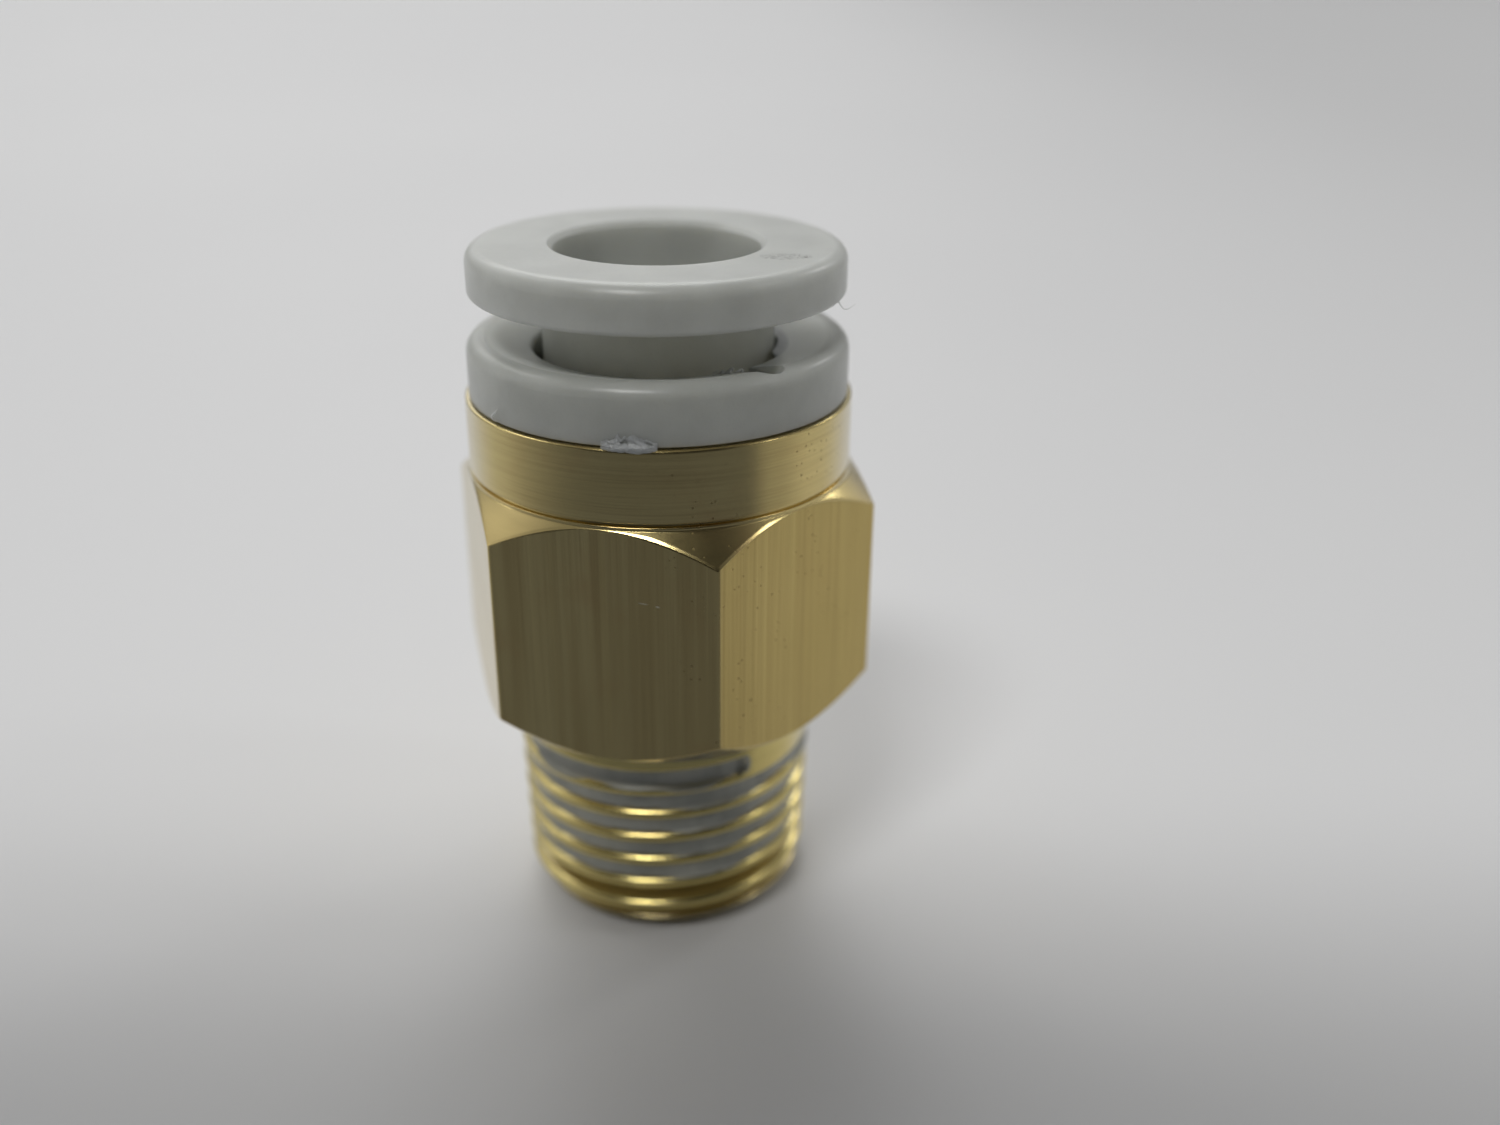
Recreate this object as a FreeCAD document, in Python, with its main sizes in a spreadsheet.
import FreeCAD, Part
import Sketcher
import math
import os

# Push to connect fitting: straight male stud with a taper pipe thread, a
# hexagon for the wrench and a quick-release port for plastic tube.
# Millimetres. +Z runs along the tube port, z = 0 is the end face of the thread.

os.makedirs("parts", exist_ok=True)
doc = FreeCAD.newDocument("push_to_connect_fitting")

# --------------------------------------------------------------------------
# driving dimensions: _rad is a radius, _z a height, _deg an angle in degrees
# --------------------------------------------------------------------------
SIZES = [
    # shared: how far tools and joined solids run past a face, and small bevels
    ("overrun", 0.5), ("edge_break", 0.06), ("slot_cut_length", 12.0),
    # taper pipe thread, nominal 1/8, 28 turns per inch, taper 1 in 16;
    # thread_cone_deg is the arctangent of taper_per_side
    ("thread_length", 7.6), ("thread_small_rad", 4.739), ("taper_per_side", 0.03125),
    ("thread_pitch", 0.907), ("thread_depth", 0.56), ("thread_mouth", 0.64),
    ("thread_root_flat", 0.13), ("thread_over", 0.08), ("thread_cone_deg", 1.78991),
    ("thread_start_z", -0.833), ("thread_rise", 7.151), ("end_chamfer", 0.80),
    # hexagon
    ("hex_bottom_z", "=thread_length"), ("hex_top_z", 15.2), ("hex_flats", 12.0),
    ("hex_chamfer_slope", 0.95), ("chamfer_reach", 1.40),
    # turned cylinder above the hexagon
    ("barrel_rad", 5.98), ("barrel_top_z", 17.6),
    ("relief_rad", 5.84), ("relief_low_z", 15.30), ("relief_high_z", 15.42),
    # bores, from the thread end upwards
    ("flow_rad", 2.20), ("tube_seat_z", 5.10), ("tube_seat_rad", 3.08),
    ("packing_seat_z", 8.60), ("packing_seat_rad", 4.45),
    ("cartridge_z", 11.30), ("cartridge_rad", 5.15), ("bore_chamfer", 0.15),
    # sealant strip; it starts a quarter turn round from the thread's own start
    ("sealant_gap", 0.015), ("sealant_side_share", 0.6), ("sealant_shy", 0.13),
    ("sealant_crown", 0.05), ("sealant_start_z", "=thread_start_z + 3.25 * thread_pitch"),
    ("sealant_rise", 4.196),
    # collar
    ("collar_rad", 5.85), ("collar_top_z", 19.40), ("collar_lip_z", 17.66),
    ("collar_lip_rad", 5.60), ("collar_lip_draft", 0.05), ("collar_hole_rad", 3.85),
    ("collar_rim_z", 19.03), ("hole_bevel_width", 0.10), ("hole_bevel_rise", 0.01),
    ("hole_bevel_drop", 0.08), ("dish_rad", 5.30), ("skirt_rad", 5.14),
    ("skirt_bottom_z", 15.0), ("skirt_inner_rad", 4.25), ("shoulder_z", 17.45),
    ("collar_round", 0.42),
    # scoop across the collar's rim
    ("notch_width", 1.06), ("notch_rad", 6.20), ("notch_start_z", 20.45),
    ("notch_deg", -37.0), ("notch_slope_deg", 38.4), ("notch_length", 3.45),
    # release button
    ("button_top_z", 22.10), ("button_rad", 5.715), ("flange_bottom_z", 20.70),
    ("button_bore_rad", 3.13), ("neck_rad", 3.55), ("button_round", 0.42),
    ("under_round", 0.16), ("mouth_chamfer", 0.16),
    ("catch_rad", 4.20), ("catch_low_z", 16.43), ("catch_high_z", 17.43),
    ("catch_bevel_width", 0.25), ("catch_bevel_rise", 0.40),
    ("nose_rad", 3.50), ("nose_z", 14.55), ("nose_bevel_width", 0.13),
    ("nose_bevel_rise", 0.20), ("nose_flare_width", 0.06), ("nose_flare_rise", 0.10),
    ("nose_slot", 0.60), ("nose_slot_top_z", 17.15),
    # stainless guide sleeve
    ("guide_rad", "=skirt_rad"), ("guide_inner_rad", 4.94), ("guide_low_z", 11.34),
    ("guide_high_z", 14.96), ("guide_lip_z", 14.72), ("guide_lip_rad", 4.35),
    # collet
    ("collet_rad", 4.88), ("collet_low_z", "=guide_low_z"), ("collet_high_z", 14.66),
    ("collet_floor_z", 11.90), ("collet_eye_rad", 3.20), ("collet_eye_bevel", 0.25),
    ("collet_inner_rad", 4.30), ("collet_step_z", 13.90), ("collet_pocket_rad", 4.60),
    ("collet_slot", 0.50), ("collet_slot_z", 12.45),
    # chuck ring and claws
    ("ring_rad", 4.56), ("ring_inner_rad", 4.22), ("ring_low_z", 14.42),
    ("steel_thick", 0.25), ("claw_root_rad", 4.10), ("claw_root_z", 14.50),
    ("claw_reach", 1.25), ("claw_slope_deg", 40.0), ("claw_sector_deg", 38.0),
    # packing and its backup washer
    ("packing_rad", 4.42), ("packing_low_z", 8.68), ("packing_high_z", 10.82),
    ("packing_lip_rad", 2.88), ("packing_heel_rad", 3.12),
    ("washer_rad", 4.41), ("washer_eye_rad", 3.16), ("washer_low_z", 10.86),
    ("washer_high_z", 11.27), ("washer_bevel", 0.12),
]
CLAW_COUNT = 8

sheet = doc.addObject("Spreadsheet::Sheet", "Dims")
sheet.Label = "Dims"
for row, (alias, content) in enumerate(SIZES, start=1):
    sheet.set("A%d" % row, alias.replace("_", " "))
    sheet.set("B%d" % row, str(content))
    sheet.setAlias("B%d" % row, alias)
doc.recompute()


class Dim:
    """A size that carries both its number and its spreadsheet expression."""

    def __init__(self, value, text):
        self.value = value
        self.text = text

    @staticmethod
    def of(other):
        return other if isinstance(other, Dim) else Dim(float(other), repr(float(other)))

    def __add__(self, other):
        other = Dim.of(other)
        return Dim(self.value + other.value, "(%s + %s)" % (self.text, other.text))

    def __sub__(self, other):
        other = Dim.of(other)
        return Dim(self.value - other.value, "(%s - %s)" % (self.text, other.text))

    def __mul__(self, other):
        other = Dim.of(other)
        return Dim(self.value * other.value, "(%s * %s)" % (self.text, other.text))

    def __truediv__(self, other):
        other = Dim.of(other)
        return Dim(self.value / other.value, "(%s / %s)" % (self.text, other.text))

    def __neg__(self):
        return Dim(-self.value, "(0 - %s)" % self.text)


class Sizes:
    """Gives each spreadsheet alias as a Dim attribute."""

    def __getattr__(self, alias):
        return Dim(float(getattr(sheet, alias)), "Dims." + alias)


size = Sizes()


def cosine(angle):
    return Dim(math.cos(math.radians(angle.value)), "cos(%s * 1 deg)" % angle.text)


def sine(angle):
    return Dim(math.sin(math.radians(angle.value)), "sin(%s * 1 deg)" % angle.text)


# --------------------------------------------------------------------------
# modelling helpers
# --------------------------------------------------------------------------
CUTTING_KINDS = ("Groove", "Pocket", "PolarPattern", "SubtractiveHelix")
LEAST_CUT = 1e-4        # mm3 a cut has to remove
EDGE_TOLERANCE = 0.004  # when finding a circular edge by radius and height


def new_body(name):
    body = doc.addObject("PartDesign::Body", name)
    body.Label = name
    return body


def add_sketch(body, name, role):
    """Empty sketch on the body's origin plane with the given role."""
    sketch = body.newObject("Sketcher::SketchObject", name)
    support = [f for f in body.Origin.OriginFeatures if f.Role == role][0]
    sketch.AttachmentSupport = (support, [""])
    sketch.MapMode = "FlatFace"
    return sketch


def add_outline(body, name, points, role="XZ_Plane"):
    """Closed outline, every vertex bound to the sheet by its two distances
    from the origin. Points are (radius or x, height or y)."""
    sketch = add_sketch(body, name, role)
    points = [(Dim.of(x), Dim.of(y)) for x, y in points]
    corners = [FreeCAD.Vector(x.value, y.value, 0) for x, y in points]
    count = len(corners)
    for i in range(count):
        sketch.addGeometry(Part.LineSegment(corners[i], corners[(i + 1) % count]), False)
    for i in range(count):
        sketch.addConstraint(Sketcher.Constraint("Coincident", i, 2, (i + 1) % count, 1))
    for i, (x, y) in enumerate(points):
        for kind, distance, axis in (("DistanceX", x, -2), ("DistanceY", y, -1)):
            if abs(distance.value) < 1e-9:
                sketch.addConstraint(Sketcher.Constraint("PointOnObject", i, 1, axis))
                continue
            # a distance constraint is positive, so a negative one swaps its ends
            ends = (-1, 1, i, 1)
            if distance.value < 0:
                ends = (i, 1, -1, 1)
                distance = -distance
            index = sketch.addConstraint(Sketcher.Constraint(kind, *ends, distance.value))
            sketch.setExpression("Constraints[%d]" % index, distance.text)
    doc.recompute()
    return sketch


def add_feature(body, kind, name, **settings):
    """PartDesign feature at the body's tip. A Dim setting is bound to the
    sheet, any other is assigned. A cut has to remove something."""
    cuts = kind in CUTTING_KINDS
    before = body.Shape.Volume if cuts else 0.0
    feature = body.newObject("PartDesign::" + kind, name)
    for setting, value in settings.items():
        if isinstance(value, Dim):
            feature.setExpression(setting, value.text)
        else:
            setattr(feature, setting, value)
    body.Tip = feature
    doc.recompute()
    if cuts and not body.Shape.Volume < before - LEAST_CUT:
        raise RuntimeError(name + " removed nothing")
    return feature


def turn(body, name, outline_name, points, kind="Revolution", **settings):
    """Outline in the XZ plane turned about Z; a full turn unless Angle is set."""
    sketch = add_outline(body, outline_name, points)
    return add_feature(body, kind, name, Profile=sketch,
                       ReferenceAxis=(sketch, ["V_Axis"]), **settings)


def wind(body, kind, name, sketch, rise):
    """Section wound about Z along the thread's cone."""
    add_feature(body, kind, name, Profile=sketch, ReferenceAxis=(sketch, ["V_Axis"]),
                Mode="pitch-height-angle", Pitch=size.thread_pitch, Height=rise,
                Angle=size.thread_cone_deg)


def round_edge(body, name, base, rad, height, fillet):
    """Fillet on the circular edges of the given radius and height."""
    names = []
    for i, edge in enumerate(base.Shape.Edges, start=1):
        curve = edge.Curve
        if (hasattr(curve, "Radius") and hasattr(curve, "Center")
                and abs(curve.Radius - rad.value) < EDGE_TOLERANCE
                and abs(curve.Center.z - height.value) < EDGE_TOLERANCE):
            names.append("Edge%d" % i)
    if not names:
        raise RuntimeError(name + " found no edge")
    return add_feature(body, "Fillet", name, Base=(base, names), Radius=fillet)


def cut_slots(body, name, width, low, high, angle, count):
    """Slot right across the body, repeated about Z."""
    half = width / 2.0
    sketch = add_outline(body, name + "_outline", [
        (-half, low), (half, low), (half, high), (-half, high)])
    pair = add_feature(body, "Pocket", name + "_pair", Profile=sketch, Type="Length",
                       Length=size.slot_cut_length, Midplane=True)
    return add_feature(body, "PolarPattern", name + "s", Originals=[pair],
                       Axis=(sketch, ["V_Axis"]), Angle=angle, Occurrences=count)


def crest_rad(height):
    """Radius of the thread's crest cone at a height."""
    return size.thread_small_rad + height * size.taper_per_side


def flank_spread():
    """Growth of the valley's half width per unit of radius."""
    return (size.thread_mouth - size.thread_root_flat) / size.thread_depth / 2.0


# --------------------------------------------------------------------------
# stud body: hexagon bar, thread cone and barrel, stepped bore, thread
# --------------------------------------------------------------------------
def add_hexagon(body):
    half = size.hex_flats / 2.0
    corner = size.hex_flats * (1 / math.sqrt(3))
    sketch = add_outline(body, "hexagon", [
        (corner, 0), (corner / 2.0, half), (-(corner / 2.0), half),
        (-corner, 0), (-(corner / 2.0), -half), (corner / 2.0, -half)], "XY_Plane")
    sketch.setExpression("AttachmentOffset.Base.z", size.hex_bottom_z.text)
    doc.recompute()
    add_feature(body, "Pad", "hexagon_bar", Profile=sketch,
                Length=size.hex_top_z - size.hex_bottom_z)


def chamfer_hexagon(body):
    inner = size.barrel_rad
    outer = inner + size.chamfer_reach
    drop = size.chamfer_reach * size.hex_chamfer_slope
    top = size.hex_top_z
    low = size.hex_bottom_z
    turn(body, "top_corner_chamfer", "top_corner_cut", [
        (inner, top), (outer, top), (outer, top - drop)], "Groove")
    turn(body, "low_corner_chamfer", "low_corner_cut", [
        (inner, low), (outer, low + drop), (outer, low)], "Groove")


def cut_thread(body):
    z = size.thread_start_z
    root = crest_rad(z) - size.thread_depth
    outer = crest_rad(z) + size.thread_over
    half_root = size.thread_root_flat / 2.0
    half_outer = size.thread_mouth / 2.0 + flank_spread() * size.thread_over
    valley = add_outline(body, "thread_valley", [
        (root, z - half_root), (outer, z - half_outer),
        (outer, z + half_outer), (root, z + half_root)])
    wind(body, "SubtractiveHelix", "taper_thread", valley, size.thread_rise)


def stud_body():
    body = new_body("stud_body")
    add_hexagon(body)
    # the cone and barrel meet inside the hexagon
    joint_z = size.hex_bottom_z + size.overrun
    turn(body, "turned_bar", "turned_outline", [
        (0, 0),
        (size.thread_small_rad - size.end_chamfer, 0),
        (crest_rad(size.end_chamfer), size.end_chamfer),
        (crest_rad(size.thread_length), size.thread_length),
        (crest_rad(size.thread_length), joint_z),
        (size.barrel_rad, joint_z),
        (size.barrel_rad, size.barrel_top_z - size.edge_break),
        (size.barrel_rad - size.edge_break, size.barrel_top_z),
        (0, size.barrel_top_z)])
    chamfer_hexagon(body)
    relief_outer = size.barrel_rad + size.overrun
    turn(body, "barrel_relief", "barrel_relief_outline", [
        (size.relief_rad, size.relief_low_z), (relief_outer, size.relief_low_z),
        (relief_outer, size.relief_high_z), (size.relief_rad, size.relief_high_z)], "Groove")
    turn(body, "stepped_bore", "bore_outline", [
        (0, -size.bore_chamfer),
        (size.flow_rad + size.bore_chamfer * 2.0, -size.bore_chamfer),
        (size.flow_rad, size.bore_chamfer),
        (size.flow_rad, size.tube_seat_z),
        (size.tube_seat_rad, size.tube_seat_z),
        (size.tube_seat_rad, size.packing_seat_z),
        (size.packing_seat_rad, size.packing_seat_z),
        (size.packing_seat_rad, size.cartridge_z),
        (size.cartridge_rad, size.cartridge_z),
        (size.cartridge_rad, size.barrel_top_z + size.overrun),
        (0, size.barrel_top_z + size.overrun)], "Groove")
    cut_thread(body)
    return body


def thread_sealant():
    """Dried sealant, a strip lying in the valleys of the upper turns."""
    body = new_body("thread_sealant")
    z = size.sealant_start_z
    low = crest_rad(z) - size.thread_depth + size.sealant_gap
    high = crest_rad(z) - size.sealant_shy
    half_low = size.thread_root_flat / 2.0 - size.sealant_gap * size.sealant_side_share
    half_high = half_low + flank_spread() * (high - low)
    strip = add_outline(body, "strip_section", [
        (low, z - half_low), (high, z - half_high), (high + size.sealant_crown, z),
        (high, z + half_high), (low, z + half_low)], "YZ_Plane")
    wind(body, "AdditiveHelix", "strip_in_thread", strip, size.sealant_rise)
    return body


# --------------------------------------------------------------------------
# collar: resin cap whose skirt is pressed into the barrel and which holds the
# button and the guide sleeve
# --------------------------------------------------------------------------
def cut_rim_notch(body):
    """Round scoop across the rim beside the neck, running inward and down
    along a line in the radial plane at notch_deg."""
    around = math.radians(size.notch_deg.value)
    slope = math.radians(size.notch_slope_deg.value)
    outward = FreeCAD.Vector(math.cos(around), math.sin(around), 0)
    up = FreeCAD.Vector(0, 0, 1)
    radius = size.notch_width / 2
    sketch = add_sketch(body, "rim_notch_outline", "XY_Plane")
    sketch.AttachmentOffset = FreeCAD.Placement(
        outward * size.notch_rad.value + up * size.notch_start_z.value,
        FreeCAD.Rotation(up, outward * math.cos(slope) + up * math.sin(slope)))
    sketch.addGeometry(Part.Circle(FreeCAD.Vector(0, 0, 0), up, radius.value), False)
    sketch.addConstraint(Sketcher.Constraint("Coincident", 0, 3, -1, 1))
    index = sketch.addConstraint(Sketcher.Constraint("Radius", 0, radius.value))
    sketch.setExpression("Constraints[%d]" % index, radius.text)
    doc.recompute()
    add_feature(body, "Pocket", "rim_notch", Profile=sketch, Type="Length",
                Length=size.notch_length)


def collar():
    body = new_body("collar")
    cap = turn(body, "collar_turned", "collar_outline", [
        (size.skirt_inner_rad, size.skirt_bottom_z),
        (size.skirt_rad - size.edge_break, size.skirt_bottom_z),
        (size.skirt_rad, size.skirt_bottom_z + size.edge_break * 2.0),
        (size.skirt_rad, size.barrel_top_z),
        (size.collar_lip_rad - size.collar_lip_draft, size.barrel_top_z),
        (size.collar_lip_rad, size.collar_lip_z),
        (size.collar_rad, size.collar_lip_z),
        (size.collar_rad, size.collar_top_z),
        (size.dish_rad, size.collar_top_z),
        (size.collar_hole_rad + size.hole_bevel_width, size.collar_rim_z + size.hole_bevel_rise),
        (size.collar_hole_rad, size.collar_rim_z - size.hole_bevel_drop),
        (size.collar_hole_rad, size.shoulder_z),
        (size.skirt_inner_rad, size.shoulder_z)])
    round_edge(body, "collar_top_round", cap, size.collar_rad, size.collar_top_z,
               size.collar_round)
    cut_rim_notch(body)
    return body


def release_button():
    """Flange to push on, neck, catch that keeps it in the collar, and a split
    nose that opens the claws."""
    body = new_body("release_button")
    turn(body, "button_turned", "button_outline", [
        (size.button_bore_rad + size.nose_flare_width, size.nose_z),
        (size.nose_rad - size.nose_bevel_width, size.nose_z),
        (size.nose_rad, size.nose_z + size.nose_bevel_rise),
        (size.nose_rad, size.catch_low_z),
        (size.catch_rad - size.catch_bevel_width, size.catch_low_z),
        (size.catch_rad, size.catch_low_z + size.catch_bevel_rise),
        (size.catch_rad, size.catch_high_z),
        (size.neck_rad, size.catch_high_z),
        (size.neck_rad, size.flange_bottom_z),
        (size.button_rad, size.flange_bottom_z),
        (size.button_rad, size.button_top_z),
        (size.button_bore_rad + size.mouth_chamfer, size.button_top_z),
        (size.button_bore_rad, size.button_top_z - size.mouth_chamfer),
        (size.button_bore_rad, size.nose_z + size.nose_flare_rise)])
    # three places over a half turn: two crossed slots, the last on the first
    slotted = cut_slots(body, "nose_slot", size.nose_slot, size.nose_z - size.overrun,
                        size.nose_slot_top_z, angle=180.0, count=3)
    rounded = round_edge(body, "flange_top_round", slotted, size.button_rad,
                         size.button_top_z, size.button_round)
    round_edge(body, "flange_under_round", rounded, size.button_rad,
               size.flange_bottom_z, size.under_round)
    return body


def guide_ring():
    """Stainless guide sleeve with an inward lip over the collet."""
    body = new_body("guide_ring")
    turn(body, "guide_pressed", "guide_outline", [
        (size.guide_inner_rad, size.guide_low_z),
        (size.guide_rad, size.guide_low_z),
        (size.guide_rad, size.guide_high_z - size.edge_break),
        (size.guide_rad - size.edge_break, size.guide_high_z),
        (size.guide_lip_rad, size.guide_high_z),
        (size.guide_lip_rad, size.guide_lip_z),
        (size.guide_inner_rad, size.guide_lip_z)])
    return body


def collet():
    """Slotted cup that turns in the guide sleeve and carries the chuck."""
    body = new_body("collet")
    turn(body, "collet_turned", "collet_outline", [
        (size.collet_eye_rad, size.collet_low_z),
        (size.collet_rad - size.edge_break * 2.0, size.collet_low_z),
        (size.collet_rad, size.collet_low_z + size.edge_break * 2.0),
        (size.collet_rad, size.collet_high_z - size.edge_break),
        (size.collet_rad - size.edge_break, size.collet_high_z),
        (size.collet_pocket_rad, size.collet_high_z),
        (size.collet_pocket_rad, size.collet_step_z),
        (size.collet_inner_rad, size.collet_step_z),
        (size.collet_inner_rad, size.collet_floor_z),
        (size.collet_eye_rad + size.collet_eye_bevel, size.collet_floor_z),
        (size.collet_eye_rad, size.collet_floor_z - size.collet_eye_bevel)])
    cut_slots(body, "collet_slot", size.collet_slot, size.collet_slot_z,
              size.collet_high_z + size.overrun, angle=360.0, count=8)
    return body


# --------------------------------------------------------------------------
# chuck: flat ring with claws bent inwards and down
# --------------------------------------------------------------------------
def chuck_ring():
    body = new_body("chuck_ring")
    low = size.ring_low_z
    top = low + size.steel_thick
    turn(body, "ring_blanked", "ring_outline", [
        (size.ring_inner_rad, low), (size.ring_rad, low),
        (size.ring_rad, top), (size.ring_inner_rad, top)])
    return body


def chuck_claw(number):
    """Sloping sector, turned about +X and then swung to its place round Z."""
    body = new_body("chuck_claw_%d" % number)
    cos_slope = cosine(size.claw_slope_deg)
    sin_slope = sine(size.claw_slope_deg)
    # half the steel's thickness, square to the slope
    off_x = sin_slope * size.steel_thick / 2.0
    off_z = cos_slope * size.steel_thick / 2.0
    root_x = size.claw_root_rad
    root_z = size.claw_root_z
    tip_x = root_x - size.claw_reach
    tip_z = root_z - size.claw_reach * sin_slope / cos_slope
    turn(body, "claw_bent_%d" % number, "claw_section_%d" % number, [
        (root_x - off_x, root_z + off_z), (root_x + off_x, root_z - off_z),
        (tip_x + off_x, tip_z - off_z), (tip_x - off_x, tip_z + off_z)],
        Angle=size.claw_sector_deg, Midplane=True)
    body.Placement = FreeCAD.Placement(
        FreeCAD.Vector(0, 0, 0),
        FreeCAD.Rotation(FreeCAD.Vector(0, 0, 1), (number - 0.5) * 360.0 / CLAW_COUNT))
    return body


def packing():
    """Rubber lip seal on the tube, open side down."""
    body = new_body("packing")
    low = size.packing_low_z
    high = size.packing_high_z
    lip = size.packing_lip_rad
    heel = size.packing_heel_rad
    outer = size.packing_rad
    # moulded section: up the bore side first, offsets from the sizes above
    turn(body, "packing_moulded", "packing_outline", [
        (heel, high), (heel, low + 1.10),
        (lip, low + 0.26), (lip + 0.06, low), (lip + 0.22, low),
        (heel + 0.26, low + 0.86), (heel + 0.52, low + 1.04),
        (outer - 0.48, low + 0.86), (outer - 0.24, low), (outer - 0.06, low),
        (outer, low + 0.22), (outer - 0.06, low + 0.95),
        (outer - 0.02, high - 0.12), (outer - 0.12, high)])
    return body


def backup_washer():
    """Washer that backs the packing."""
    body = new_body("backup_washer")
    turn(body, "washer_turned", "washer_outline", [
        (size.washer_eye_rad, size.washer_low_z),
        (size.washer_rad, size.washer_low_z),
        (size.washer_rad, size.washer_high_z - size.edge_break),
        (size.washer_rad - size.edge_break, size.washer_high_z),
        (size.washer_eye_rad + size.washer_bevel, size.washer_high_z),
        (size.washer_eye_rad, size.washer_high_z - size.washer_bevel)])
    return body


# --------------------------------------------------------------------------
# build everything, check it, then write
# --------------------------------------------------------------------------
parts = [stud_body(), thread_sealant(), collar(), release_button(), guide_ring(),
         collet(), chuck_ring()]
parts += [chuck_claw(number) for number in range(1, CLAW_COUNT + 1)]
parts += [packing(), backup_washer()]

doc.recompute()
failed = [o.Name for o in doc.Objects if "Invalid" in o.State or "Error" in o.State]
if failed:
    raise RuntimeError("failed objects: " + ", ".join(failed))
for body in parts:
    shape = body.Shape
    if shape.isNull() or not shape.isValid() or len(shape.Solids) != 1:
        raise RuntimeError("bad shape: %s (%d solids)" % (body.Label, len(shape.Solids)))
for body in parts:
    body.Shape.exportStep("parts/%s.step" % body.Label)
